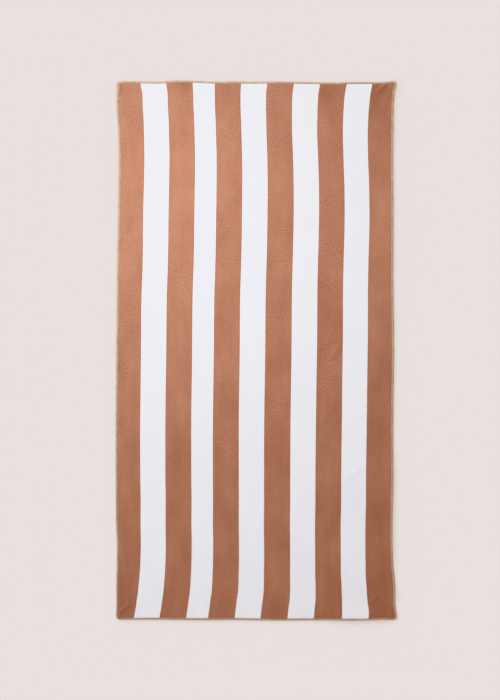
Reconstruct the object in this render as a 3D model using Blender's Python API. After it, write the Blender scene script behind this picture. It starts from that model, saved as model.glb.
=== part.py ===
"""A beach towel lying flat: one thick cloth, and the overlocked edging sewn over its four edges.

Metres, +Z up. X runs across the towel and +Y along it. The origin is in the middle of the
underside, on the surface that the towel lies on.
"""

import math
from collections import namedtuple

import bpy
from mathutils import Vector

# Overall size, over the edging
WIDTH = 0.800
LENGTH = 1.535
CORNER_RADIUS = 0.0105

# The cloth, and the thin flattened border that the edging is sewn over
CLOTH_THICKNESS = 0.0028
BORDER_THICKNESS = 0.0010
SHOULDER = 0.0045
GAP = 0.0003

# The edging: a yarn casing with a slot that holds the cloth's border
EDGING_THICKNESS = 0.0036
SIDE_EDGING_WIDTH = 0.0064
END_EDGING_WIDTH = 0.0053
EDGING_WALL = 0.0010
EDGING_BACK = 0.0013
EDGING_ROUND = 0.0010

# Grid lines: distances from each edge of the cloth, then even steps, then closer steps at folds
NEAR_EDGE = (0.0125, 0.017, 0.022, 0.029, 0.037, 0.047, 0.062, 0.090)
ARC_STEPS = 2
ACROSS_STEP = 0.070
ALONG_STEP = 0.080
FOLD_BANDS_ACROSS = ((0.188, 0.308, 0.010),)
FOLD_BANDS_ALONG = ((-0.392, -0.311, 0.009), (-0.042, 0.039, 0.009))

# How far each side edge is drawn in from the overall width, in millimetres, at places along it
SideLine = namedtuple("SideLine", "y left right")
SIDE_LINES = (
    SideLine(-768, 2.5, 0.0),
    SideLine(-754, 2.0, 1.2),
    SideLine(-720, 2.7, 5.5),
    SideLine(-665, 2.3, 6.0),
    SideLine(-610, 3.3, 11.2),
    SideLine(-550, 3.4, 13.4),
    SideLine(-490, 1.1, 13.7),
    SideLine(-380, 0.2, 11.5),
    SideLine(-200, 0.2, 11.2),
    SideLine(20, 1.7, 9.1),
    SideLine(190, 3.4, 11.1),
    SideLine(300, 4.7, 11.0),
    SideLine(390, 6.2, 10.8),
    SideLine(470, 8.5, 10.9),
    SideLine(560, 8.3, 11.3),
    SideLine(645, 6.1, 10.6),
    SideLine(700, 2.3, 9.8),
    SideLine(745, 3.0, 5.5),
    SideLine(768, 2.0, 0.0),
)

# How far each end edge is drawn in from the overall length, in millimetres, at places across it
EndLine = namedtuple("EndLine", "x bottom top")
END_LINES = (
    EndLine(-400, 2.9, 2.8),
    EndLine(-365, 2.4, 2.2),
    EndLine(-280, 2.8, 3.8),
    EndLine(-220, 1.8, 0.2),
    EndLine(-130, 1.3, 3.5),
    EndLine(-60, 1.9, 3.1),
    EndLine(-20, 1.1, 4.3),
    EndLine(50, 0.2, 3.0),
    EndLine(150, 0.7, 5.0),
    EndLine(220, 0.8, 6.0),
    EndLine(300, 0.7, 4.4),
    EndLine(350, 2.1, 5.0),
    EndLine(400, 1.3, 1.5),
)

# Folds and lifted places, in millimetres and degrees: the middle, the way the crest runs, its
# half length, how far it spreads to the left and to the right of that way, how high it lifts the
# cloth, and how far its middle bows to the right
Fold = namedtuple("Fold", "name x y heading reach left right rise bow")
FOLDS = (
    Fold("lower_right_crease", 273, -349, 33, 39, 20, 10, 1.0, 3),
    Fold("lower_right_crease_tail", 250, -372, 6, 26, 18, 12, 0.7, 0),
    Fold("middle_right_crease", 224, -8, 52, 24, 18, 11, 2.8, 0),
    Fold("middle_right_crease_upper", 203, 20, 78, 17, 14, 8, 1.5, 0),
    Fold("top_right_crease", 357, 745, 46, 27, 12, 7, 3.0, 0),
    Fold("top_right_corner", 394, 760, 45, 20, 18, 18, 3.8, 0),
    Fold("top_left_crease", -388, 742, 79, 22, 9, 7, 3.2, 0),
    Fold("bottom_left_crease", -373, -736, 41, 26, 14, 6, 2.0, -3),
    Fold("bottom_left_corner", -396, -762, 45, 14, 14, 14, 2.0, 0),
    Fold("bottom_right_crease", 333, -706, 49, 22, 9, 12, 1.6, 0),
    Fold("bottom_right_roll", 371, -749, 3, 24, 16, 7, 2.0, 0),
    Fold("bottom_right_corner", 384, -747, 108, 19, 14, 9, 2.4, 0),
    Fold("right_edge_wave", 392, -690, 90, 29, 18, 18, 1.6, 0),
    Fold("right_edge_raised", 396, -450, 90, 196, 45, 20, 2.8, 0),
    Fold("bottom_edge_raised", 290, -768, 0, 110, 60, 20, 3.0, 0),
    Fold("left_edge_wave", -394, 520, 90, 94, 24, 24, 1.2, 0),
    Fold("top_edge_wave_left", -226, 764, 0, 37, 20, 20, 1.4, 0),
    Fold("top_edge_wave_middle", -56, 764, 0, 29, 16, 16, 1.0, 0),
    Fold("right_edge_lift", 394, 650, 90, 51, 18, 18, 1.0, 0),
)

# Slow unevenness of the upper face, in millimetres: its height, its two wavelengths and its phase
Swell = namedtuple("Swell", "height across along phase")
SWELLS = (
    Swell(0.16, 310, 520, 0.7),
    Swell(0.12, 190, -260, 2.1),
    Swell(0.08, -120, 170, 4.4),
)

# Colours and roughness of the two materials, and the angle above which an edge stays sharp
CLOTH_COLOUR = (0.48, 0.21, 0.13)
CLOTH_ROUGHNESS = 0.95
EDGING_COLOUR = (0.66, 0.48, 0.33)
EDGING_ROUGHNESS = 0.85
SHARP_DEGREES = 50

MM = 0.001


def named_column(rows, column):
    """The places and the values of one column, in metres."""
    places = [row[0] * MM for row in rows]
    values = [getattr(row, column) * MM for row in rows]
    return places, values


def smooth_value(rows, column, place):
    """One column read at any place, with a smooth curve through its rows."""
    places, values = named_column(rows, column)
    place = min(max(place, places[0]), places[-1])
    k = max(i for i in range(len(places) - 1) if places[i] <= place)

    def slope(i):
        low, high = max(i - 1, 0), min(i + 1, len(places) - 1)
        return (values[high] - values[low]) / (places[high] - places[low])

    span = places[k + 1] - places[k]
    t = (place - places[k]) / span
    start = values[k] * (2 * t**3 - 3 * t**2 + 1)
    end = values[k + 1] * (3 * t**2 - 2 * t**3)
    leaving = slope(k) * span * (t**3 - 2 * t**2 + t)
    arriving = slope(k + 1) * span * (t**3 - t**2)
    return start + end + leaving + arriving


def laid(u, v):
    """Where a point of the flat towel lies, with its edges drawn in."""
    right_share = u / WIDTH + 0.5
    top_share = v / LENGTH + 0.5
    from_left = smooth_value(SIDE_LINES, "left", v) * (1 - right_share)
    from_right = smooth_value(SIDE_LINES, "right", v) * right_share
    from_bottom = smooth_value(END_LINES, "bottom", u) * (1 - top_share)
    from_top = smooth_value(END_LINES, "top", u) * top_share
    return Vector((u + from_left - from_right, v + from_bottom - from_top))


def bump(share):
    """1 at the crest, falling softly to 0 where the share reaches 1."""
    return math.cos(0.5 * math.pi * min(share, 1.0)) ** 2


def lift(place):
    """How far the folds raise the cloth off the surface at a place."""
    raised = 0.0
    for fold in FOLDS:
        away = Vector((place.x - fold.x * MM, place.y - fold.y * MM))
        crest = Vector((math.cos(math.radians(fold.heading)), math.sin(math.radians(fold.heading))))
        along = away.dot(crest) / (fold.reach * MM)
        bowed = fold.bow * MM * (1 - min(along * along, 1.0))
        across = crest.cross(away) + bowed
        across /= (fold.left if across > 0 else fold.right) * MM
        raised = max(raised, fold.rise * MM * bump(along * along) * bump(abs(across)))
    return raised


def thickness(place):
    """The cloth's thickness at a place, with the slow unevenness of its pile."""
    uneven = 0.0
    for swell in SWELLS:
        turns = place.x / (swell.across * MM) + place.y / (swell.along * MM)
        uneven += swell.height * MM * math.sin(2 * math.pi * turns + swell.phase)
    return CLOTH_THICKNESS + uneven


def grid_lines(half, step, bands):
    """Places of the grid lines across one direction of the cloth."""
    near = [half - distance for distance in NEAR_EDGE]
    lines = set(near) | {-place for place in near}
    inner = near[-1]
    count = round(2 * inner / step)
    even = [-inner + 2 * inner * i / count for i in range(1, count)]
    for low, high, closer in bands:
        even = [place for place in even if not low - closer < place < high + closer]
        steps = round((high - low) / closer)
        even += [low + (high - low) * i / steps for i in range(steps + 1)]
    return sorted(lines | set(even))


COLUMNS = grid_lines(WIDTH / 2, ACROSS_STEP, FOLD_BANDS_ACROSS)
ROWS = grid_lines(LENGTH / 2, ALONG_STEP, FOLD_BANDS_ALONG)
LAST_COLUMN = len(COLUMNS) - 1
LAST_ROW = len(ROWS) - 1


def rim_cells():
    """Grid places along the rim of the cloth's inner grid, anticlockwise from the lower left."""
    bottom = [(j, 0) for j in range(LAST_COLUMN)]
    right = [(LAST_COLUMN, i) for i in range(LAST_ROW)]
    top = [(j, LAST_ROW) for j in range(LAST_COLUMN, 0, -1)]
    left = [(0, i) for i in range(LAST_ROW, 0, -1)]
    return bottom + right + top + left


def flat_outline_point(j, i):
    """The point of the flat towel's outline, with its round corners, that goes with a rim place."""
    side = -1 if 2 * j < LAST_COLUMN else 1
    end = -1 if 2 * i < LAST_ROW else 1
    steps_across = min(j, LAST_COLUMN - j)
    steps_along = min(i, LAST_ROW - i)
    on_side = steps_across == 0
    steps = max(steps_across, steps_along)
    if steps > ARC_STEPS:
        if on_side:
            return side * WIDTH / 2, ROWS[i]
        return COLUMNS[j], end * LENGTH / 2
    turn = math.pi / 4 * steps / ARC_STEPS
    angle = math.pi / 4 - turn if on_side else math.pi / 4 + turn
    x = WIDTH / 2 - CORNER_RADIUS + CORNER_RADIUS * math.cos(angle)
    y = LENGTH / 2 - CORNER_RADIUS + CORNER_RADIUS * math.sin(angle)
    return side * x, end * y


def fitted(points):
    """The points stretched very slightly, so that they reach exactly to the overall size."""
    low = Vector((min(p.x for p in points), min(p.y for p in points)))
    high = Vector((max(p.x for p in points), max(p.y for p in points)))
    middle = (low + high) / 2
    scale_x = WIDTH / (high.x - low.x)
    scale_y = LENGTH / (high.y - low.y)
    return [Vector(((p.x - middle.x) * scale_x, (p.y - middle.y) * scale_y)) for p in points]


def edging_width(j, i):
    """The edging's width: the side width along the sides, the end width along the ends."""
    steps_across = min(j, LAST_COLUMN - j)
    steps_along = min(i, LAST_ROW - i)
    share = min(max(steps_across, steps_along) / ARC_STEPS, 1.0)
    own = SIDE_EDGING_WIDTH if steps_across == 0 else END_EDGING_WIDTH
    corner = (SIDE_EDGING_WIDTH + END_EDGING_WIDTH) / 2
    return corner + (own - corner) * share


Station = namedtuple("Station", "place inward width lift")


def outline_stations():
    """One station on the outline for each rim place, with its inward direction."""
    cells = rim_cells()
    points = fitted([laid(*flat_outline_point(j, i)) for j, i in cells])
    stations = []
    for n, (j, i) in enumerate(cells):
        ahead = points[(n + 1) % len(points)] - points[n - 1]
        inward = Vector((-ahead.y, ahead.x)).normalized()
        stations.append(Station(points[n], inward, edging_width(j, i), lift(points[n])))
    return stations


def new_material(name, colour, roughness):
    material = bpy.data.materials.new(name)
    material.use_nodes = True
    shader = material.node_tree.nodes["Principled BSDF"]
    shader.inputs["Base Color"].default_value = (*colour, 1.0)
    shader.inputs["Roughness"].default_value = roughness
    shader.inputs["Metallic"].default_value = 0.0
    material.diffuse_color = (*colour, 1.0)
    return material


def new_object(name, vertices, faces, material):
    mesh = bpy.data.meshes.new(name)
    mesh.from_pydata(vertices, [], faces)
    mesh.materials.append(material)
    mesh.validate()
    mesh.shade_smooth()
    mesh.set_sharp_from_angle(angle=math.radians(SHARP_DEGREES))
    new = bpy.data.objects.new(name, mesh)
    bpy.context.scene.collection.objects.link(new)
    return new


def flat_quads(corners, upward):
    """A quad as two triangles, so that each face is truly flat."""
    a, b, c, d = corners if upward else reversed(corners)
    return [(a, b, c), (a, c, d)]


def build_cloth(stations, material):
    """The cloth: an inner grid, a shoulder round it, and the thin border inside the edging."""
    vertices = []
    faces = []
    top_of = {}
    bottom_of = {}
    for i, v in enumerate(ROWS):
        for j, u in enumerate(COLUMNS):
            place = laid(u, v)
            raised = lift(place)
            bottom_of[j, i] = len(vertices)
            vertices.append((place.x, place.y, raised))
            top_of[j, i] = len(vertices)
            vertices.append((place.x, place.y, raised + thickness(place)))
    for i in range(LAST_ROW):
        for j in range(LAST_COLUMN):
            ring = ((j, i), (j + 1, i), (j + 1, i + 1), (j, i + 1))
            faces += flat_quads([top_of[cell] for cell in ring], True)
            faces += flat_quads([bottom_of[cell] for cell in ring], False)

    border_bottom = (EDGING_THICKNESS - BORDER_THICKNESS) / 2
    border_top = border_bottom + BORDER_THICKNESS

    def border_loop(distance_of, bottom, top):
        """Two loops of points, below and above, a distance in from the outline."""
        below, above = [], []
        for station in stations:
            place = station.place + station.inward * distance_of(station)
            below.append(len(vertices))
            vertices.append((place.x, place.y, station.lift + bottom))
            above.append(len(vertices))
            vertices.append((place.x, place.y, station.lift + top))
        return below, above

    cells = rim_cells()
    loops = [([bottom_of[cell] for cell in cells], [top_of[cell] for cell in cells])]
    loops.append(border_loop(lambda s: s.width + GAP + SHOULDER, 0.0, CLOTH_THICKNESS))
    loops.append(border_loop(lambda s: s.width + GAP, border_bottom, border_top))
    loops.append(border_loop(lambda s: EDGING_BACK + GAP, border_bottom, border_top))
    count = len(cells)
    for inner, outer in zip(loops, loops[1:]):
        for n in range(count):
            m = (n + 1) % count
            faces += flat_quads([outer[1][n], outer[1][m], inner[1][m], inner[1][n]], True)
            faces += flat_quads([outer[0][n], outer[0][m], inner[0][m], inner[0][n]], False)
    below, above = loops[-1]
    for n in range(count):
        m = (n + 1) % count
        faces += flat_quads([below[n], below[m], above[m], above[n]], True)
    return new_object("towel_cloth", vertices, faces, material)


def edging_section(width):
    """The edging's section, as distances in from the outline and heights, clockwise from outside."""
    slot_bottom = EDGING_WALL
    slot_top = EDGING_THICKNESS - EDGING_WALL
    return (
        (EDGING_ROUND, 0.0),
        (0.0, EDGING_ROUND),
        (0.0, EDGING_THICKNESS - EDGING_ROUND),
        (EDGING_ROUND, EDGING_THICKNESS),
        (width, EDGING_THICKNESS),
        (width, slot_top),
        (EDGING_BACK, slot_top),
        (EDGING_BACK, slot_bottom),
        (width, slot_bottom),
        (width, 0.0),
    )


# The section's faces at a run's two ends, as point numbers of the section
SECTION_CAP = ((0, 1, 7, 8, 9), (1, 2, 6, 7), (2, 3, 4, 5, 6))


def build_edging(name, stations, material):
    """One run of edging, from the middle of one corner to the middle of the next."""
    vertices = []
    faces = []
    corners = len(edging_section(SIDE_EDGING_WIDTH))
    for n, station in enumerate(stations):
        forward = Vector((station.inward.y, -station.inward.x))
        shift = (n == 0) * GAP / 2 - (n == len(stations) - 1) * GAP / 2
        for distance, height in edging_section(station.width):
            place = station.place + station.inward * distance + forward * shift
            vertices.append((place.x, place.y, station.lift + height))
    for n in range(len(stations) - 1):
        for k in range(corners):
            a = n * corners + k
            b = n * corners + (k + 1) % corners
            faces += flat_quads([a, b, b + corners, a + corners], False)
    last = (len(stations) - 1) * corners
    for cap in SECTION_CAP:
        faces.append(tuple(k for k in cap))
        faces.append(tuple(last + k for k in reversed(cap)))
    return new_object(name, vertices, faces, material)


def clear_scene():
    for item in list(bpy.data.objects):
        bpy.data.objects.remove(item, do_unlink=True)


def build_towel():
    clear_scene()
    cloth = new_material("cloth", CLOTH_COLOUR, CLOTH_ROUGHNESS)
    edging = new_material("edging", EDGING_COLOUR, EDGING_ROUGHNESS)
    stations = outline_stations()
    build_cloth(stations, cloth)
    starts = {
        "edging_bottom": 0,
        "edging_right": LAST_COLUMN,
        "edging_top": LAST_COLUMN + LAST_ROW,
        "edging_left": 2 * LAST_COLUMN + LAST_ROW,
    }
    ring = stations + stations[:1]
    ends = list(starts.values())[1:] + [len(stations)]
    for (name, start), end in zip(starts.items(), ends):
        build_edging(name, ring[start : end + 1], edging)


build_towel()
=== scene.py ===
"""The looks of a beach towel lying flat: its velour cloth with woven stripes, as creased and
uneven as it lies, and the overlocked edging along its four edges, stitch by stitch.

Lengths are in metres unless a comment says millimetres. +Z is up, X runs across the towel and +Y
along it, and the surface that it lies on is at zero.
"""

import math
from collections import namedtuple

import bpy
import numpy as np
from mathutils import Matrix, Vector


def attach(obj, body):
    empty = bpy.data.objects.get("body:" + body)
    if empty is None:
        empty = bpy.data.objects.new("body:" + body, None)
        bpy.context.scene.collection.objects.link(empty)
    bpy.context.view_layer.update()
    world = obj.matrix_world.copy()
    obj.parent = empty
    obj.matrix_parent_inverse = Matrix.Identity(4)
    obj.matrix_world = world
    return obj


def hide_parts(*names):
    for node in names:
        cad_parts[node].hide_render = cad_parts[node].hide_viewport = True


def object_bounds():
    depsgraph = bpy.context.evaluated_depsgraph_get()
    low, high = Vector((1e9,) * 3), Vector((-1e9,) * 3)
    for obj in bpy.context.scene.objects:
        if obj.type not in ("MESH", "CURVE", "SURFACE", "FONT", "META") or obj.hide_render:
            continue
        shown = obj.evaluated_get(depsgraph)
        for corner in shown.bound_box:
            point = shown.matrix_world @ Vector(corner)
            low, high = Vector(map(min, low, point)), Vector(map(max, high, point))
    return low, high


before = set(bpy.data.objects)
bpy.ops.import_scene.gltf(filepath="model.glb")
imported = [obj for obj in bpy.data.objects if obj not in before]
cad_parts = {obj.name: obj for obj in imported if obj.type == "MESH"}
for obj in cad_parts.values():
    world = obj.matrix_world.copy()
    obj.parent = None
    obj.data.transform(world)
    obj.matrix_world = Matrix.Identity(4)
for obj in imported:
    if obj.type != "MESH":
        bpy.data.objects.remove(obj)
cad_low, cad_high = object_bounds()

MM = 0.001
WIDTH = cad_high.x - cad_low.x
LENGTH = cad_high.y - cad_low.y
CORNER_RADIUS = 10.5 * MM

# The cloth and the flattened border that the edging is sewn over, as in the solids
CLOTH_THICKNESS = 2.8 * MM
BORDER_THICKNESS = 1.0 * MM
BORDER_IN_EDGING = 1.6 * MM
SHOULDER = 4.5 * MM
EDGING_THICKNESS = 3.6 * MM
SIDE_EDGING_WIDTH = 6.4 * MM
END_EDGING_WIDTH = 5.3 * MM

# The cloth's mesh: the mean step of its upper face, how much closer its lines lie at the edges
# than in the middle, how many of those steps its underside takes, and where its lines cross the
# shoulder beside the edging, as shares of it
MESH_STEP = 3.9 * MM
MESH_GRADING = 0.2
UNDERSIDE_STEPS = 3
SHOULDER_LINES = (0.0, 0.3, 0.65, 1.0)

# The outline's corners, anticlockwise from the lower left, and how many points it has in half a
# corner, along an end and along a side
CORNERS = ((-1, -1), (1, -1), (1, 1), (-1, 1))
HALF_CORNER_POINTS = 10
END_POINTS = 160
SIDE_POINTS = 300

# Keeps a division from a distance of nothing
LEAST_REACH = 1e-9

# The stripes from the left edge to the right one, in millimetres of flat cloth, and how wide the
# soft edge between two of them is
Stripe = namedtuple("Stripe", "colour width")
STRIPES = (
    Stripe("brown", 71.0),
    Stripe("white", 72.1),
    Stripe("brown", 75.5),
    Stripe("white", 61.9),
    Stripe("brown", 75.4),
    Stripe("white", 72.6),
    Stripe("brown", 76.1),
    Stripe("white", 72.6),
    Stripe("brown", 75.1),
    Stripe("white", 71.5),
    Stripe("brown", 76.2),
)
STRIPE_BLUR = 1.3

# The UV map that keeps the flat cloth's places
FLAT_MAP = "flat_cloth"

# How far each side edge is drawn in from the overall width, in millimetres, at places along it
SideLine = namedtuple("SideLine", "y left right")
SIDE_LINES = (
    SideLine(-768, 2.5, 0.0),
    SideLine(-754, 2.0, 1.2),
    SideLine(-720, 2.7, 5.5),
    SideLine(-665, 2.3, 6.0),
    SideLine(-610, 3.3, 11.2),
    SideLine(-550, 3.4, 13.4),
    SideLine(-490, 1.1, 13.7),
    SideLine(-380, 0.2, 11.5),
    SideLine(-200, 0.2, 11.2),
    SideLine(20, 1.7, 9.1),
    SideLine(190, 3.4, 11.1),
    SideLine(300, 4.7, 11.0),
    SideLine(390, 6.2, 10.8),
    SideLine(470, 8.5, 10.9),
    SideLine(560, 8.3, 11.3),
    SideLine(645, 6.1, 10.6),
    SideLine(700, 2.3, 9.8),
    SideLine(745, 3.0, 5.5),
    SideLine(768, 2.0, 0.0),
)

# How far each end edge is drawn in from the overall length, in millimetres, at places across it
EndLine = namedtuple("EndLine", "x bottom top")
END_LINES = (
    EndLine(-400, 2.9, 2.8),
    EndLine(-365, 2.4, 2.2),
    EndLine(-280, 2.8, 3.8),
    EndLine(-220, 1.8, 0.2),
    EndLine(-130, 1.3, 3.5),
    EndLine(-60, 1.9, 3.1),
    EndLine(-20, 1.1, 4.3),
    EndLine(50, 0.2, 3.0),
    EndLine(150, 0.7, 5.0),
    EndLine(220, 0.8, 6.0),
    EndLine(300, 0.7, 4.4),
    EndLine(350, 2.1, 5.0),
    EndLine(400, 1.3, 1.5),
)

# How far the stripes lie to the right of straight, in millimetres: at four places across the
# towel, and at places along it
SWAY_PLACES = {"left": -330, "inner_left": -30, "inner_right": 150, "right": 325}
Sway = namedtuple("Sway", "y left inner_left inner_right right")
SWAYS = (
    Sway(-768, -21.4, -20.1, -17.4, -6.8),
    Sway(-759, -20.2, -18.4, -16.1, -5.3),
    Sway(-736, -15.9, -14.3, -12.0, -2.4),
    Sway(-710, -12.2, -10.3, -6.8, -4.0),
    Sway(-687, -8.8, -6.9, -6.2, -6.0),
    Sway(-648, -5.0, -4.6, -5.6, -6.9),
    Sway(-600, -2.5, -1.9, -3.0, -4.1),
    Sway(-440, 1.3, -0.4, -1.1, -2.0),
    Sway(-370, 0.4, -0.9, -1.8, -3.0),
    Sway(-200, 0.1, -0.9, -0.6, -0.7),
    Sway(-28, 1.0, -0.1, 0.3, -0.6),
    Sway(142, 1.3, 0.9, 2.0, 1.5),
    Sway(256, 3.8, 3.9, 4.1, 3.5),
    Sway(370, 3.5, 5.0, 6.1, 6.0),
    Sway(469, 3.1, 4.4, 5.5, 4.7),
    Sway(554, 4.8, 4.2, 3.4, 2.0),
    Sway(631, 4.9, 2.6, 0.5, 1.0),
    Sway(702, 5.5, 2.2, 2.2, 4.6),
    Sway(736, 3.1, 0.5, 1.8, 5.8),
    Sway(753, -0.9, 0.8, 2.9, 6.6),
    Sway(768, -1.4, 0.5, 1.9, 5.3),
)

# Folds and lifted places, in millimetres and degrees: the middle, the way the crest runs, its
# half length, how far it spreads to the left and to the right of that way, how high it lifts the
# cloth, and how far its middle bows to the right
Fold = namedtuple("Fold", "name x y heading reach left right rise bow")
FOLDS = (
    Fold("lower_right_crease", 273, -349, 33, 39, 20, 10, 1.0, 3),
    Fold("lower_right_crease_tail", 250, -372, 6, 26, 18, 12, 0.7, 0),
    Fold("middle_right_crease", 224, -8, 52, 24, 18, 11, 2.8, 0),
    Fold("middle_right_crease_upper", 203, 20, 78, 17, 14, 8, 1.5, 0),
    Fold("top_right_crease", 357, 745, 46, 27, 12, 7, 3.0, 0),
    Fold("top_right_corner", 394, 760, 45, 20, 18, 18, 3.8, 0),
    Fold("top_left_crease", -388, 742, 79, 22, 9, 7, 3.2, 0),
    Fold("bottom_left_crease", -373, -736, 41, 26, 14, 6, 2.0, -3),
    Fold("bottom_left_corner", -396, -762, 45, 14, 14, 14, 2.0, 0),
    Fold("bottom_right_crease", 333, -706, 49, 22, 9, 12, 1.6, 0),
    Fold("bottom_right_roll", 371, -749, 3, 24, 16, 7, 2.0, 0),
    Fold("bottom_right_corner", 384, -747, 108, 19, 14, 9, 2.4, 0),
    Fold("right_edge_wave", 392, -690, 90, 29, 18, 18, 1.6, 0),
    Fold("right_edge_raised", 396, -450, 90, 196, 45, 20, 2.8, 0),
    Fold("bottom_edge_raised", 290, -768, 0, 110, 60, 20, 3.0, 0),
    Fold("left_edge_wave", -394, 520, 90, 94, 24, 24, 1.2, 0),
    Fold("top_edge_wave_left", -226, 764, 0, 37, 20, 20, 1.4, 0),
    Fold("top_edge_wave_middle", -56, 764, 0, 29, 16, 16, 1.0, 0),
    Fold("right_edge_lift", 394, 650, 90, 51, 18, 18, 1.0, 0),
)

# Slow unevenness of the upper face, in millimetres: its height, its wavelengths across and along
# the towel, and its phase in radians
Swell = namedtuple("Swell", "height across along phase")
SWELLS = (
    Swell(0.16, 310, 520, 0.7),
    Swell(0.12, 190, -260, 2.1),
    Swell(0.08, -120, 170, 4.4),
)

# The runs of edging in the solids, anticlockwise from the lower left corner
RUNS = ("edging_bottom", "edging_right", "edging_top", "edging_left")

# The edging's yarn goes once round the border at each stitch. The power squares its wraps off:
# 1 would make them round.
STITCH_LENGTH = 1.5 * MM
WRAP_YARN_RADIUS = 0.70 * MM
WRAP_POINTS = 12
WRAP_SIDES = 6
WRAP_POWER = 0.7

# A finer seam runs inside the wraps. Its height over the border, in its own radii, is what it has
# at a stitch and what it gains between two.
SEAM_YARN_RADIUS = 0.34 * MM
SEAM_POINTS = 4
SEAM_SIDES = 4
SEAM_INSIDE = 0.3 * MM
SEAM_AT_STITCH = 0.1
SEAM_BETWEEN = 1.2

# How uneven the wraps are: the spread of one random number for each stitch, and how much of it
# goes into their places and into the yarn's thickness
YARN_UNEVENNESS = 0.12
UNEVEN_PLACES = 0.5
UNEVEN_THICKNESS = 0.4

# Painted light on the brown pile, which falls off from the top left: how much lighter it is
# painted at the top edge and at the right one than in the middle
PAINTED_LIGHT_UP = 0.157
PAINTED_LIGHT_ACROSS = -0.072

# Broad places where the brown pile is painted lighter or darker, in millimetres from the towel's
# middle: how far each reaches, and how much lighter it looks. The three at the top edge are
# painted shade, where the cloth curves down there.
ToneAndShadeSpot = namedtuple("ToneAndShadeSpot", "name x y across along shade")
TONE_AND_SHADE_SPOTS = (
    ToneAndShadeSpot("top_right", 340, 740, 190, 150, -0.7),
    ToneAndShadeSpot("top_inner_right", 212, 740, 90, 120, -0.5),
    ToneAndShadeSpot("top_inner_left", -212, 756, 60, 60, -0.5),
    ToneAndShadeSpot("upper_left", -200, 470, 260, 260, 0.22),
    ToneAndShadeSpot("upper_right", 370, 400, 90, 260, 0.35),
    ToneAndShadeSpot("lower_middle", 0, -620, 200, 220, 0.3),
    ToneAndShadeSpot("lower_left", -380, -680, 80, 200, -0.3),
    ToneAndShadeSpot("middle_left", -365, 60, 90, 240, -0.2),
    ToneAndShadeSpot("middle_right", 355, 150, 100, 180, 0.3),
    ToneAndShadeSpot("lower_right", 350, -640, 90, 240, -0.25),
    ToneAndShadeSpot("bottom_inner_right", 212, -768, 70, 110, -0.4),
)

# Noise in the pile and the yarn: its grain is 1 / scale metres across, longer where stretch is
# under 1
NOISE_MIDDLE = 0.5
Grain = namedtuple("Grain", "scale detail roughness stretch", defaults=[(1, 1, 1)])
STRIPE_WANDER = Grain(650, 3, 0.65, (1, 0.4, 1))
PATCHES = Grain(14, 3, 0.5, (1, 0.55, 1))
STREAKS = Grain(45, 3, 0.6, (1, 0.12, 1))
TUFTS = Grain(300, 2, 0.8, (1, 0.85, 1))
BRUSHING = Grain(9, 2, 0.5)
PILE = Grain(1700, 3, 0.75)
LUMPS = Grain(120, 3, 0.6)
WARMTH = Grain(30, 5, 0.75)
YARN_STRANDS = Grain(1500, 2, 0.6)
YARN_SHADES = Grain(60, 3, 0.6)

# How much each noise weighs in the shade of the pile and of the yarn
PATCHES_WEIGHT = 1.1
STREAKS_WEIGHT = 0.55
PILE_WEIGHT = 1.6
YARN_WEIGHT = 2.0

# A value's range and what it is spread over: how far a stripe's edge wanders, how strongly the
# tufts show by the brushing, up the towel and across it, and the share of the warmer tint
Ramp = namedtuple("Ramp", "low high to_low to_high")
WANDERING = Ramp(0.3, 0.7, -0.55 * MM, 0.55 * MM)
TUFTS_BRUSHED = Ramp(0.42, 0.58, 1.0, 3.8)
TUFTS_UP = Ramp(0.1, 0.9, 0.35, 1.35)
TUFTS_ACROSS = Ramp(0.66, 0.74, 1.0, 0.65)
WARMING = Ramp(0.3, 0.7, 0.0, 1.0)

# How strongly the surface's relief shades, and how deep it is
Relief = namedtuple("Relief", "strength distance")
LUMPS_RELIEF = Relief(0.4, 0.5 * MM)
PILE_RELIEF = Relief(0.9, 0.8 * MM)
YARN_RELIEF = Relief(0.5, 0.2 * MM)

# Colours of the pile and the yarn, each from its darkest to its lightest shade
BROWN_DARK = (0.348, 0.147, 0.0885)
BROWN_LIGHT = (0.507, 0.243, 0.156)
WHITE_DIM = (0.832, 0.82, 0.839)
WHITE_BRIGHT = (0.907, 0.898, 0.921)
YARN_DARK = (0.49, 0.325, 0.218)
YARN_LIGHT = (0.725, 0.52, 0.375)

# Tints that the brown pile is multiplied by, from place to place
BROWN_ROSY = (1.0, 0.955, 1.01)
BROWN_GOLDEN = (1.0, 1.045, 0.985)

# The yarn's browner colour: painted shade, whose share grows down the towel, where the edging
# faces away from the light, and brown that is full at the lower left corner, where it turns under
YARN_SHADED_BROWN = (0.42, 0.215, 0.145)
YARN_SHADE_DOWNWARD = Ramp(-0.5 * LENGTH, 0.15 * LENGTH, 0.3, 0.0)
YARN_BROWNED_CORNER = (-0.41, -0.8, 0.0)
YARN_BROWNED_REACH = (0.06, 0.3, 1.0)

# The finish of each material
VELOUR_FINISH = {
    "Roughness": 0.95,
    "Specular IOR Level": 0.15,
    "Sheen Weight": 0.25,
    "Sheen Roughness": 0.5,
    "Sheen Tint": (1.0, 0.95, 0.9, 1.0),
}
YARN_FINISH = {
    "Roughness": 0.8,
    "Specular IOR Level": 0.25,
    "Sheen Weight": 0.2,
    "Sheen Roughness": 0.5,
}
FLOOR_FINISH = {
    "Base Color": (0.84, 0.78, 0.75, 1.0),
    "Roughness": 0.9,
    "Specular IOR Level": 0.0,
}

# How far the floor reaches each way, and the colour seen beyond it
FLOOR_REACH = 30.0
BACKDROP_COLOUR = (0.878, 0.8065, 0.7785, 1.0)

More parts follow.
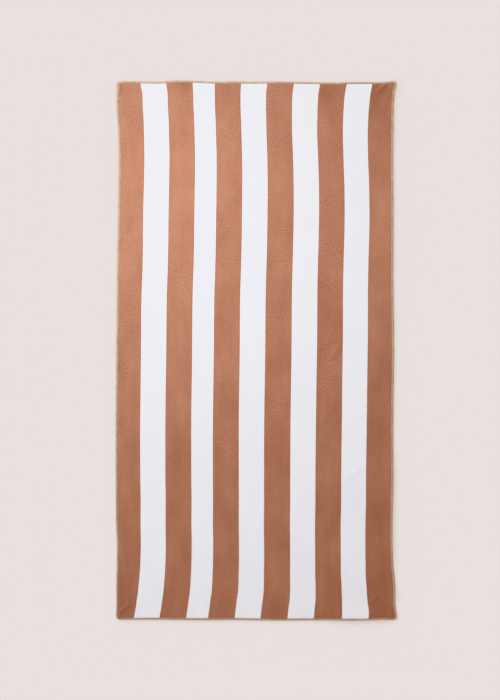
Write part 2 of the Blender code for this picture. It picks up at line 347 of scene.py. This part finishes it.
# Soft boxes for the towel alone, in metres and watts: a far one at the upper left, and a near one
# overhead
SoftBox = namedtuple("SoftBox", "name place target size power tint")
SOFT_BOXES = (
    SoftBox("key", (-3.4, 2.6, 1.9), (0, 0, 0), 2.0, 121, (0.985, 1.0, 1.04)),
    SoftBox("overhead", (-0.315, 0.39, 0.7), (-0.315, 0.39, 0), 0.7, 3.01, (0.95, 1.05, 1.12)),
)

# The light all round
SKY_COLOUR = (1.0, 0.985, 0.99, 1.0)
SKY_STRENGTH = 0.75

# Lamps for the floor alone, in degrees: a low one that draws the soft shadow, and one overhead
FloorLamp = namedtuple("FloorLamp", "name azimuth elevation spread strength")
FLOOR_LAMPS = (
    FloorLamp("floor_raking", 133, 14, 26, 1.48),
    FloorLamp("floor_above", 120, 85, 60, 0.565),
)

# The camera: how much of the floor the picture's long side shows, where its middle is, the
# camera's height, and its sensor's long side in millimetres
VIEW_LENGTH = 1.9908
VIEW_MIDDLE = (-0.0180, 0.00145)
CAMERA_HEIGHT = 3.2
SENSOR = 36.0


def read_column(rows, column, places):
    """One column of a table at any places, in metres, with a smooth curve through its rows."""
    at = np.array([row[0] for row in rows]) * MM
    values = np.array([getattr(row, column) for row in rows]) * MM
    last = len(at) - 1
    low = np.maximum(np.arange(len(at)) - 1, 0)
    high = np.minimum(np.arange(len(at)) + 1, last)
    slopes = (values[high] - values[low]) / (at[high] - at[low])
    places = np.clip(places, at[0], at[-1])
    k = np.clip(np.searchsorted(at, places, side="right") - 1, 0, last - 1)
    span = at[k + 1] - at[k]
    t = (places - at[k]) / span
    start = values[k] * (2 * t**3 - 3 * t**2 + 1)
    end = values[k + 1] * (3 * t**2 - 2 * t**3)
    leaving = slopes[k] * span * (t**3 - 2 * t**2 + t)
    arriving = slopes[k + 1] * span * (t**3 - t**2)
    return start + end + leaving + arriving


def drawn_in(u, v):
    """Where points of the flat towel lie once its edges are drawn in."""
    right_share = u / WIDTH + 0.5
    top_share = v / LENGTH + 0.5
    x = u + read_column(SIDE_LINES, "left", v) * (1 - right_share)
    x = x - read_column(SIDE_LINES, "right", v) * right_share
    y = v + read_column(END_LINES, "bottom", u) * (1 - top_share)
    y = y - read_column(END_LINES, "top", u) * top_share
    return x, y


def outline_run(corner):
    """The flat outline from the middle of one corner to the middle of the next, anticlockwise."""
    arc = np.radians(np.linspace(0, 45, HALF_CORNER_POINTS))
    start = np.radians(225 + 90 * corner)
    points = []
    for turn, sign in ((0, CORNERS[corner]), (1, CORNERS[(corner + 1) % 4])):
        angle = start + arc + turn * np.radians(45)
        centre_x = sign[0] * (WIDTH / 2 - CORNER_RADIUS)
        centre_y = sign[1] * (LENGTH / 2 - CORNER_RADIUS)
        points.append(np.stack([centre_x + CORNER_RADIUS * np.cos(angle),
                                centre_y + CORNER_RADIUS * np.sin(angle)], axis=1))
    count = END_POINTS if corner % 2 == 0 else SIDE_POINTS
    share = np.linspace(0, 1, count)[1:-1, None]
    straight = points[0][-1] * (1 - share) + points[1][0] * share
    return np.concatenate([points[0], straight, points[1]])


def outline_fit():
    """The slight stretch that makes the drawn-in outline reach exactly to the overall size."""
    flat = np.concatenate([outline_run(corner) for corner in range(4)])
    x, y = drawn_in(flat[:, 0], flat[:, 1])
    middle = ((x.min() + x.max()) / 2, (y.min() + y.max()) / 2)
    scale = (WIDTH / (x.max() - x.min()), LENGTH / (y.max() - y.min()))
    return middle, scale


FIT_MIDDLE, FIT_SCALE = outline_fit()


def laid(u, v):
    """Where points of the flat towel lie."""
    x, y = drawn_in(u, v)
    return (x - FIT_MIDDLE[0]) * FIT_SCALE[0], (y - FIT_MIDDLE[1]) * FIT_SCALE[1]


def sway(u, v):
    """How far the cloth at flat places has slipped sideways inside its edges."""
    knots = [-WIDTH / 2, *(place * MM for place in SWAY_PLACES.values()), WIDTH / 2]
    slipped = np.zeros_like(u)
    for n, name in enumerate(SWAY_PLACES, start=1):
        hat = np.interp(u, knots, [float(k == n) for k in range(len(knots))])
        slipped = slipped + hat * read_column(SWAYS, name, v)
    return slipped


def bump(share):
    """1 at the crest, falling softly to 0 where the share reaches 1."""
    return np.cos(0.5 * np.pi * np.minimum(np.abs(share), 1.0)) ** 2


def lift(x, y):
    """How far the folds raise the cloth off the surface."""
    raised = np.zeros_like(x)
    for fold in FOLDS:
        away_x = x - fold.x * MM
        away_y = y - fold.y * MM
        cos, sin = math.cos(math.radians(fold.heading)), math.sin(math.radians(fold.heading))
        along = (away_x * cos + away_y * sin) / (fold.reach * MM)
        bowed = fold.bow * MM * (1 - np.minimum(along**2, 1.0))
        across = away_y * cos - away_x * sin + bowed
        across = across / (np.where(across > 0, fold.left, fold.right) * MM)
        raised = np.maximum(raised, fold.rise * MM * bump(along**2) * bump(across))
    return raised


def swells(x, y):
    """The slow unevenness of the cloth's thickness."""
    uneven = np.zeros_like(x)
    for swell in SWELLS:
        turns = x / (swell.across * MM) + y / (swell.along * MM)
        uneven = uneven + swell.height * MM * np.sin(2 * np.pi * turns + swell.phase)
    return uneven


def placed(name, data):
    """A new object in the scene for a mesh, a lamp or a camera."""
    item = bpy.data.objects.new(name, data)
    bpy.context.scene.collection.objects.link(item)
    return item


def mesh_object(name, vertices, faces):
    """A smoothly shaded mesh in the scene."""
    mesh = bpy.data.meshes.new(name)
    mesh.from_pydata(vertices, [], faces)
    mesh.shade_smooth()
    return placed(name, mesh)


def cloth_lines(half, edging_width):
    """Flat places of the mesh lines across one direction: closest at the edging."""
    seam = edging_width + SEAM_INSIDE
    near = [BORDER_IN_EDGING, *(seam + share * SHOULDER for share in SHOULDER_LINES)]
    inner = half - near[-1]
    count = round(2 * inner / MESH_STEP)
    edges = 2 * (len(near) - 1)
    count += -(count + edges) % UNDERSIDE_STEPS
    low = [-half + distance for distance in near[:-1]]
    share = np.linspace(-1, 1, count + 1)
    graded = inner * ((1 + MESH_GRADING) * share - MESH_GRADING * share**3)
    return np.array(low + list(graded) + [-place for place in reversed(low)])


def cloth_heights(u, v, x, y):
    """Heights of the cloth's underside and upper face at flat places that lie at x and y."""
    from_side = WIDTH / 2 - np.abs(u)
    from_end = LENGTH / 2 - np.abs(v)
    share = from_side / (from_side + from_end)
    edging = SIDE_EDGING_WIDTH * (1 - share) + END_EDGING_WIDTH * share
    inside = np.minimum(from_side, from_end) - edging - SEAM_INSIDE
    rise = np.sin(0.5 * np.pi * np.clip(inside / SHOULDER, 0, 1))
    border_bottom = (EDGING_THICKNESS - BORDER_THICKNESS) / 2
    border_top = border_bottom + BORDER_THICKNESS
    top = border_top + (CLOTH_THICKNESS + swells(x, y) - border_top) * rise
    raised = lift(x, y)
    return raised + border_bottom * (1 - rise), raised + top


def rounded(u, v):
    """Flat places with the towel's four corners rounded."""
    over_u = np.abs(u) - (WIDTH / 2 - CORNER_RADIUS)
    over_v = np.abs(v) - (LENGTH / 2 - CORNER_RADIUS)
    in_corner = (over_u > 0) & (over_v > 0)
    reach = np.maximum(np.hypot(over_u, over_v), LEAST_REACH)
    pull = np.where(in_corner, np.maximum(over_u, over_v) / reach, 1.0)
    new_u = np.where(in_corner, WIDTH / 2 - CORNER_RADIUS + over_u * pull, np.abs(u))
    new_v = np.where(in_corner, LENGTH / 2 - CORNER_RADIUS + over_v * pull, np.abs(v))
    return np.sign(u) * new_u, np.sign(v) * new_v


def build_cloth():
    """The cloth as one closed sheet: a fine upper face and a coarser underside."""
    columns = cloth_lines(WIDTH / 2, SIDE_EDGING_WIDTH)
    rows = cloth_lines(LENGTH / 2, END_EDGING_WIDTH)
    u, v = np.meshgrid(columns, rows)
    flat_u, flat_v = rounded(u, v)
    x, y = laid(flat_u, flat_v)
    x = x + sway(flat_u, flat_v)
    bottom, top = cloth_heights(u, v, x, y)
    upper = np.arange(u.size).reshape(u.shape)
    quads = np.stack([upper[:-1, :-1], upper[:-1, 1:], upper[1:, 1:], upper[1:, :-1]], axis=-1)
    faces = quads.reshape(-1, 4).tolist()
    pick = (slice(None, None, UNDERSIDE_STEPS), slice(None, None, UNDERSIDE_STEPS))
    under = u.size + np.arange(u[pick].size).reshape(u[pick].shape)
    quads = np.stack([under[:-1, :-1], under[1:, :-1], under[1:, 1:], under[:-1, 1:]], axis=-1)
    faces += quads.reshape(-1, 4).tolist()
    rim = [
        (upper[0, :], under[0, :]),
        (upper[:, -1], under[:, -1]),
        (upper[-1, ::-1], under[-1, ::-1]),
        (upper[::-1, 0], under[::-1, 0]),
    ]
    for above, below in rim:
        for n in range(len(below) - 1):
            over = above[UNDERSIDE_STEPS * n : UNDERSIDE_STEPS * (n + 1) + 1]
            faces.append([below[n], below[n + 1], *over[::-1]])
    vertices = np.concatenate([
        np.stack([x, y, top], axis=-1).reshape(-1, 3),
        np.stack([x[pick], y[pick], bottom[pick]], axis=-1).reshape(-1, 3),
    ])
    cloth = mesh_object("velour_cloth", vertices.tolist(), faces)
    flat = np.concatenate([
        np.stack([u, v], axis=-1).reshape(-1, 2),
        np.stack([u[pick], v[pick]], axis=-1).reshape(-1, 2),
    ])
    add_flat_places(cloth, flat + (WIDTH / 2, LENGTH / 2))
    return cloth


def add_flat_places(item, places):
    """Stores each point's place in the flat cloth, in metres from its lower left, as a UV map."""
    layer = item.data.uv_layers.new(name=FLAT_MAP)
    corners = np.empty(len(item.data.loops), dtype=np.int32)
    item.data.loops.foreach_get("vertex_index", corners)
    layer.data.foreach_set("uv", places[corners].astype(np.float32).ravel())


def tube(centres, aside, radii, sides):
    """Points and faces of a closed tube along centres, where aside is a way across it at each."""
    along = np.gradient(centres, axis=0)
    along /= np.linalg.norm(along, axis=1, keepdims=True)
    first = aside - along * np.sum(aside * along, axis=1, keepdims=True)
    first /= np.linalg.norm(first, axis=1, keepdims=True)
    second = np.cross(along, first)
    angles = 2 * np.pi * np.arange(sides) / sides
    rings = (
        centres[:, None]
        + radii[:, None, None] * np.cos(angles)[None, :, None] * first[:, None]
        + radii[:, None, None] * np.sin(angles)[None, :, None] * second[:, None]
    )
    index = np.arange(len(centres) * sides).reshape(len(centres), sides)
    ahead = np.roll(index, -1, axis=1)
    quads = np.stack([index[:-1], ahead[:-1], ahead[1:], index[1:]], axis=-1)
    faces = quads.reshape(-1, 4).tolist()
    faces.append(index[0, ::-1].tolist())
    faces.append(index[-1].tolist())
    return rings.reshape(-1, 3), faces


def edging_path(corner):
    """The laid outline of one run: distances along it, points, inward directions and widths."""
    flat = outline_run(corner)
    points = np.stack(laid(flat[:, 0], flat[:, 1]), axis=1)
    steps = np.linalg.norm(np.diff(points, axis=0), axis=1)
    distance = np.concatenate([[0], np.cumsum(steps)])
    along = np.gradient(points, axis=0)
    inward = np.stack([-along[:, 1], along[:, 0]], axis=1)
    inward /= np.linalg.norm(inward, axis=1, keepdims=True)
    own = END_EDGING_WIDTH if corner % 2 == 0 else SIDE_EDGING_WIDTH
    at_corner = (SIDE_EDGING_WIDTH + END_EDGING_WIDTH) / 2
    from_corner = np.minimum(distance, distance[-1] - distance)
    share = np.clip(from_corner / CORNER_RADIUS, 0, 1)
    return distance, points, inward, at_corner + (own - at_corner) * share


def along_path(path, places):
    """The path's point, inward direction and width at distances along it."""
    distance, points, inward, width = path
    point = np.stack([np.interp(places, distance, points[:, k]) for k in range(2)], axis=1)
    across = np.stack([np.interp(places, distance, inward[:, k]) for k in range(2)], axis=1)
    across /= np.linalg.norm(across, axis=1, keepdims=True)
    return point, across, np.interp(places, distance, width)


def squared_off(value):
    """A wrap's sine or cosine, closer to -1 and 1 for longer."""
    return np.sign(value) * np.abs(value) ** WRAP_POWER


def build_edging(name, corner, seed):
    """One run of edging: a yarn wrapped over the cloth's border at each stitch, and its seam."""
    random = np.random.default_rng(seed)
    path = edging_path(corner)
    run_length = path[0][-1]
    stitches = round(run_length / STITCH_LENGTH)
    turns = np.linspace(0, stitches, stitches * WRAP_POINTS + 1)
    uneven = random.normal(0, YARN_UNEVENNESS, stitches + 2)
    uneven = np.interp(turns, np.arange(stitches + 2), uneven)
    places = (turns + UNEVEN_PLACES * uneven) / stitches * run_length
    point, inward, width = along_path(path, np.clip(places, 0, run_length))
    angle = 2 * np.pi * turns
    radii = WRAP_YARN_RADIUS * (1 + UNEVEN_THICKNESS * uneven)
    half_width = width / 2 - radii
    half_height = EDGING_THICKNESS / 2 - radii
    aside = -squared_off(np.cos(angle))
    up = squared_off(np.sin(angle))
    distance = width / 2 + half_width * aside
    place = point + inward * distance[:, None]
    height = EDGING_THICKNESS / 2 + half_height * up + lift(place[:, 0], place[:, 1])
    centres = np.column_stack([place, height])
    outward = np.column_stack([inward * aside[:, None], up])
    vertices, faces = tube(centres, outward, radii, WRAP_SIDES)

    steps = np.linspace(0, stitches, stitches * SEAM_POINTS + 1)
    point, inward, width = along_path(path, steps / stitches * run_length)
    place = point + inward * (width + SEAM_INSIDE)[:, None]
    between = np.abs(np.sin(np.pi * steps))
    border_top = (EDGING_THICKNESS + BORDER_THICKNESS) / 2
    over_border = SEAM_YARN_RADIUS * (SEAM_BETWEEN * between + SEAM_AT_STITCH)
    height = border_top + over_border + lift(place[:, 0], place[:, 1])
    seam = np.column_stack([place, height])
    outward = np.column_stack([inward, np.zeros(len(inward))])
    radii = np.full(len(seam), SEAM_YARN_RADIUS)
    seam_vertices, seam_faces = tube(seam, outward, radii, SEAM_SIDES)
    offset = len(vertices)
    faces += [[corner_index + offset for corner_index in face] for face in seam_faces]
    vertices = np.concatenate([vertices, seam_vertices])
    return mesh_object(name, vertices.tolist(), faces)


class Nodes:
    """A short way to write a material's nodes."""

    def __init__(self, name):
        self.material = bpy.data.materials.new(name)
        self.material.use_nodes = True
        self.tree = self.material.node_tree
        self.shader = self.tree.nodes["Principled BSDF"]

    def add(self, kind, **settings):
        """A new node with these settings."""
        node = self.tree.nodes.new(kind)
        for key, value in settings.items():
            setattr(node, key, value)
        return node

    def join(self, source, target):
        """Links an output to an input."""
        self.tree.links.new(source, target)

    def fill(self, node, values):
        """Sets a node's inputs by their names."""
        for name, value in values.items():
            node.inputs[name].default_value = value

    def math(self, operation, first, second=None, third=None, clamp=False):
        """One step of arithmetic on numbers and outputs."""
        node = self.add("ShaderNodeMath", operation=operation, use_clamp=clamp)
        for socket, value in zip(node.inputs, (first, second, third)):
            if isinstance(value, (int, float)):
                socket.default_value = value
            elif value is not None:
                self.join(value, socket)
        return node.outputs[0]

    def parts(self, place):
        """The X, Y and Z of a place."""
        node = self.add("ShaderNodeSeparateXYZ")
        self.join(place, node.inputs["Vector"])
        return node.outputs

    def noise(self, place, grain):
        """Noise of this grain."""
        mapping = self.add("ShaderNodeMapping")
        self.fill(mapping, {"Scale": grain.stretch})
        self.join(place, mapping.inputs["Vector"])
        noise = self.add("ShaderNodeTexNoise")
        values = {"Scale": grain.scale, "Detail": grain.detail, "Roughness": grain.roughness}
        self.fill(noise, values)
        self.join(mapping.outputs["Vector"], noise.inputs["Vector"])
        return noise.outputs["Fac"]

    def soft_spot(self, place, middle, reach):
        """1 at the middle, falling softly to 0 at the reach."""
        mapping = self.add("ShaderNodeMapping", vector_type="TEXTURE")
        self.fill(mapping, {"Location": middle, "Scale": reach})
        self.join(place, mapping.inputs["Vector"])
        spot = self.add("ShaderNodeTexGradient", gradient_type="QUADRATIC_SPHERE")
        self.join(mapping.outputs["Vector"], spot.inputs["Vector"])
        return spot.outputs["Fac"]

    def spread(self, value, low, high, to_low, to_high):
        """The value's range low to high spread over to_low to to_high."""
        node = self.add("ShaderNodeMapRange")
        for socket, number in zip(node.inputs[1:5], (low, high, to_low, to_high)):
            socket.default_value = number
        self.join(value, node.inputs[0])
        return node.outputs[0]

    def away(self, value, weight):
        """How far noise lies from its middle, times a weight."""
        return self.math("MULTIPLY", self.math("SUBTRACT", value, NOISE_MIDDLE), weight)

    def weighed(self, *terms):
        """Noise from several noises, each with its weight."""
        total = NOISE_MIDDLE
        for value, weight in terms:
            total = self.math("ADD", self.away(value, weight), total)
        return total

    def mix(self, share, first, second, blend="MIX"):
        """Two colours mixed by a share, which is held between 0 and 1."""
        node = self.add("ShaderNodeMix", data_type="RGBA", blend_type=blend)
        inputs = (node.inputs[0], node.inputs[6], node.inputs[7])
        for socket, value in zip(inputs, (share, first, second)):
            if isinstance(value, (int, float)):
                socket.default_value = value
            elif isinstance(value, tuple):
                socket.default_value = (*value, 1.0)
            else:
                self.join(value, socket)
        return node.outputs[2]

    def bump(self, height, relief, below=None):
        """The surface's direction with this relief on it, and on the one below."""
        node = self.add("ShaderNodeBump")
        self.fill(node, {"Strength": relief.strength, "Distance": relief.distance})
        self.join(height, node.inputs["Height"])
        if below is not None:
            self.join(below, node.inputs["Normal"])
        return node.outputs["Normal"]

    def finish(self, colour, normal, values):
        """The material, once its shader has its colour, its direction and its finish."""
        self.join(colour, self.shader.inputs["Base Color"])
        self.join(normal, self.shader.inputs["Normal"])
        self.fill(self.shader, values)
        return self.material


def stripe_share(nodes, across):
    """1 in the brown stripes and 0 in the white ones, with a narrow soft edge between."""
    share = 1.0
    edge = 0.0
    for stripe in STRIPES[:-1]:
        edge += stripe.width
        low, high = (edge - STRIPE_BLUR / 2) * MM, (edge + STRIPE_BLUR / 2) * MM
        crossed = nodes.spread(across, low, high, 0.0, 1.0)
        share = nodes.math("SUBTRACT" if stripe.colour == "brown" else "ADD", share, crossed)
    return share


def tuft_shade(nodes, flat, parts):
    """The tufts' light and dark, which show more where the pile is brushed open."""
    tufts = nodes.noise(flat, TUFTS)
    brushed = nodes.spread(nodes.noise(flat, BRUSHING), *TUFTS_BRUSHED)
    upward = nodes.spread(parts["Y"], *TUFTS_UP)
    rightward = nodes.spread(parts["X"], *TUFTS_ACROSS)
    strength = nodes.math("MULTIPLY", nodes.math("MULTIPLY", brushed, upward), rightward)
    return nodes.away(tufts, strength)


def painted_light_shade(nodes, flat, parts):
    """How much lighter the pile is painted: painted light over the towel, lighter towards the top
    and the left, and painted shade and tone in places.
    """
    painted_up = nodes.spread(parts["Y"], 0.0, LENGTH, -PAINTED_LIGHT_UP, PAINTED_LIGHT_UP)
    painted_across = nodes.spread(parts["X"], 0.0, WIDTH, -PAINTED_LIGHT_ACROSS, PAINTED_LIGHT_ACROSS)
    shade = nodes.math("ADD", painted_up, painted_across)
    for row in TONE_AND_SHADE_SPOTS:
        middle = (WIDTH / 2 + row.x * MM, LENGTH / 2 + row.y * MM, 0.0)
        spot = nodes.soft_spot(flat, middle, (row.across * MM, row.along * MM, 1.0))
        shade = nodes.math("MULTIPLY_ADD", spot, row.shade, shade)
    return shade


def velour_material():
    """Short velour pile in woven stripes, with painted light and shade on its brown pile."""
    nodes = Nodes("striped_velour")
    flat = nodes.add("ShaderNodeUVMap", uv_map=FLAT_MAP).outputs["UV"]
    parts = nodes.parts(flat)
    wander = nodes.spread(nodes.noise(flat, STRIPE_WANDER), *WANDERING)
    brown_share = stripe_share(nodes, nodes.math("ADD", parts["X"], wander))

    patches = nodes.noise(flat, PATCHES)
    streaks = nodes.noise(flat, STREAKS)
    pile = nodes.noise(flat, PILE)
    weights = ((patches, PATCHES_WEIGHT), (streaks, STREAKS_WEIGHT), (pile, PILE_WEIGHT))
    shade = nodes.weighed(*weights)
    brown_shade = nodes.math("ADD", shade, tuft_shade(nodes, flat, parts))
    # The brown pile takes painted light and shade, over the towel and in places
    brown_shade = nodes.math("ADD", brown_shade, painted_light_shade(nodes, flat, parts), clamp=True)
    warmth = nodes.spread(nodes.noise(flat, WARMTH), *WARMING)
    tint = nodes.mix(warmth, BROWN_ROSY, BROWN_GOLDEN)
    brown = nodes.mix(1.0, nodes.mix(brown_shade, BROWN_DARK, BROWN_LIGHT), tint, "MULTIPLY")
    white = nodes.mix(shade, WHITE_DIM, WHITE_BRIGHT)
    colour = nodes.mix(brown_share, white, brown)

    lumps = nodes.bump(nodes.noise(flat, LUMPS), LUMPS_RELIEF)
    normal = nodes.bump(pile, PILE_RELIEF, lumps)
    return nodes.finish(colour, normal, VELOUR_FINISH)


def yarn_material():
    """The edging's yarn: soft twisted strands in a light golden tan, with painted shade that makes
    it browner towards the bottom.
    """
    nodes = Nodes("edging_yarn")
    place = nodes.add("ShaderNodeTexCoord").outputs["Object"]
    strands = nodes.noise(place, YARN_STRANDS)
    shades = nodes.noise(place, YARN_SHADES)
    share = nodes.weighed((strands, YARN_WEIGHT), (shades, YARN_WEIGHT))
    colour = nodes.mix(share, YARN_DARK, YARN_LIGHT)
    # Painted shade, browner down the towel, and brown at the lower left corner
    shade_and_brown = nodes.spread(nodes.parts(place)["Y"], *YARN_SHADE_DOWNWARD)
    corner = nodes.soft_spot(place, YARN_BROWNED_CORNER, YARN_BROWNED_REACH)
    shade_and_brown = nodes.math("ADD", shade_and_brown, corner, clamp=True)
    colour = nodes.mix(shade_and_brown, colour, YARN_SHADED_BROWN)
    return nodes.finish(colour, nodes.bump(strands, YARN_RELIEF), YARN_FINISH)


def floor_material():
    """A plain matt pale surface."""
    nodes = Nodes("pale_floor")
    nodes.fill(nodes.shader, FLOOR_FINISH)
    return nodes.material


def dress(piece, material, node):
    """Gives a piece its material, attaches it to the root body, and hides the solid that it
    dresses.
    """
    piece.data.materials.append(material)
    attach(piece, "root")
    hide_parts(node)


def build_towel():
    """The dressed towel: its cloth and its four runs of edging."""
    velour = velour_material()
    yarn = yarn_material()
    cloth = build_cloth()
    dress(cloth, velour, "towel_cloth")
    edgings = []
    for corner, node in enumerate(RUNS):
        edging = build_edging("overlock_" + node.split("_")[1], corner, seed=corner + 1)
        dress(edging, yarn, node)
        edgings.append(edging)
    return [cloth, *edgings]


def build_floor():
    """The surface that the towel lies on."""
    far = FLOOR_REACH
    corners = [(-far, -far, 0), (far, -far, 0), (far, far, 0), (-far, far, 0)]
    floor = mesh_object("floor", corners, [(0, 1, 2, 3)])
    floor.data.materials.append(floor_material())
    return floor


def aimed(item, target):
    """Turns a lamp towards a point."""
    away = item.location - Vector(target)
    item.rotation_mode = "QUATERNION"
    item.rotation_quaternion = away.to_track_quat("Z", "Y")


def only_lights(lamp, name, items):
    """Lets a lamp light these objects alone; every object still casts its shadow."""
    lit = bpy.data.collections.new(name)
    for item in items:
        lit.objects.link(item)
    lamp.light_linking.receiver_collection = lit


def soft_box(row, items):
    """A square lamp that faces a point and lights only the given objects."""
    lamp = bpy.data.lights.new(row.name, "AREA")
    lamp.shape = "SQUARE"
    lamp.size = row.size
    lamp.energy = row.power
    lamp.color = row.tint
    box = placed(row.name, lamp)
    box.location = row.place
    box.visible_camera = False
    aimed(box, row.target)
    only_lights(box, row.name + "_lit", items)


def floor_lamp(row, items):
    """A far lamp that lights only the given objects."""
    lamp = bpy.data.lights.new(row.name, "SUN")
    lamp.angle = math.radians(row.spread)
    lamp.energy = row.strength
    sun = placed(row.name, lamp)
    sun.rotation_euler = (0, math.radians(90 - row.elevation), math.radians(row.azimuth))
    only_lights(sun, row.name + "_lit", items)


def build_world():
    """Light all round, and the backdrop that the camera sees instead of it."""
    world = bpy.data.worlds.new("studio")
    world.use_nodes = True
    tree = world.node_tree
    sky = tree.nodes["Background"]
    sky.inputs["Color"].default_value = SKY_COLOUR
    sky.inputs["Strength"].default_value = SKY_STRENGTH
    backdrop = tree.nodes.new("ShaderNodeBackground")
    backdrop.inputs["Color"].default_value = BACKDROP_COLOUR
    seen = tree.nodes.new("ShaderNodeMixShader")
    tree.links.new(tree.nodes.new("ShaderNodeLightPath").outputs["Is Camera Ray"], seen.inputs[0])
    tree.links.new(sky.outputs[0], seen.inputs[1])
    tree.links.new(backdrop.outputs[0], seen.inputs[2])
    tree.links.new(seen.outputs[0], tree.nodes["World Output"].inputs["Surface"])
    bpy.context.scene.world = world


def build_lights(towel, floor):
    """The studio's lamps and the light all round."""
    for row in SOFT_BOXES:
        soft_box(row, towel)
    for row in FLOOR_LAMPS:
        floor_lamp(row, [floor])
    build_world()


def build_camera():
    """The camera, straight above the towel."""
    lens = bpy.data.cameras.new("camera")
    lens.sensor_width = SENSOR
    lens.lens = SENSOR * CAMERA_HEIGHT / VIEW_LENGTH
    camera = placed("camera", lens)
    camera.location = (*VIEW_MIDDLE, CAMERA_HEIGHT)
    bpy.context.scene.camera = camera


build_camera()
towel = build_towel()
build_lights(towel, build_floor())
bpy.context.scene.view_settings.view_transform = "Khronos PBR Neutral"
